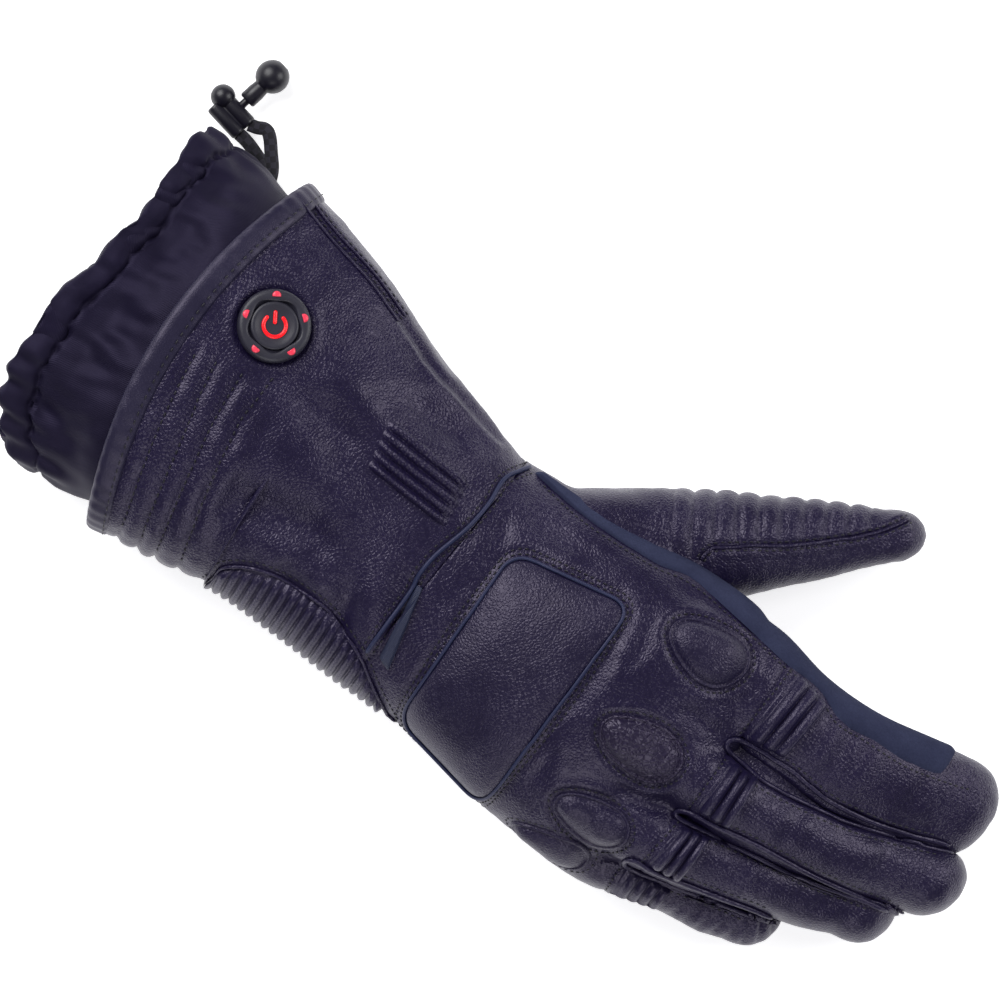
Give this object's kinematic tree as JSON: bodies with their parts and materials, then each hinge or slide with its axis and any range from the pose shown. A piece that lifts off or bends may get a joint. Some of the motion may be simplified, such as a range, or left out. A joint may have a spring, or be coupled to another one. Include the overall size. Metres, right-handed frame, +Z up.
{
  "type": "heated motorcycling glove",
  "caption": "Padded leather gauntlet glove for the right hand with knuckle pads, a round lit heat button on the cuff and a gathered inner gaiter with a drawcord lock.",
  "frame": {"origin": "on the surface that the glove rests on, palm down, under the middle of the wrist", "axes": "+X from the wrist to the fingertips, +Y to the thumb's side, +Z up out of the back of the hand"},
  "size_m": [0.3492, 0.1695, 0.061],
  "materials": {
    "leather": "near-black pebbled leather, semi-matt",
    "ribbed_leather": "softer leather sewn into ribs",
    "suede": "blue-grey suede, matt",
    "nylon": "black nylon twill and braid",
    "binding": "smooth folded leather and piping, dark navy",
    "rubber": "moulded silicone rubber, satin",
    "moulded_plastic": "black moulded acetal, glossy",
    "red_light": "translucent red, lit from behind"
  },
  "bodies": {
    "glove": {"palm": "leather", "index_finger": "leather", "middle_finger": "leather", "ring_finger": "leather", "little_finger": "leather", "thumb": "leather", "gauntlet": "leather", "gauntlet_binding": "binding", "gaiter": "nylon", "button_rim": "rubber", "button_marker_1": "red_light", "button_marker_2": "red_light", "button_marker_3": "red_light", "button_marker_4": "red_light", "button_marker_5": "red_light", "button_face": "rubber", "button_sign_ring": "red_light", "button_sign_stroke": "red_light", "back_panel": "leather", "knuckle_pad_index": "leather", "knuckle_pad_middle": "leather", "knuckle_pad_ring": "leather", "knuckle_pad_little": "leather", "stretch_panel_index": "ribbed_leather", "stretch_panel_middle": "ribbed_leather", "stretch_panel_ring": "ribbed_leather", "stretch_panel_little": "ribbed_leather", "ribbed_side_panel": "ribbed_leather", "wrist_shirring": "leather", "wrist_piping": "binding", "loop_tag": "nylon", "index_side_panel": "suede", "cord_lock_body": "moulded_plastic", "drawcord_upper": "nylon", "drawcord_lower": "nylon"},
    "plunger": {"cord_lock_plunger": "moulded_plastic"}
  },
  "joints": [
    {"name": "cord_lock_press", "type": "slide", "parent": "glove", "child": "plunger", "axis": [-0.2419, -0.9703, 0], "range_m": [0, 0.0016], "stiffness_N_per_m": 600, "springref_m": -0.002}
  ]
}
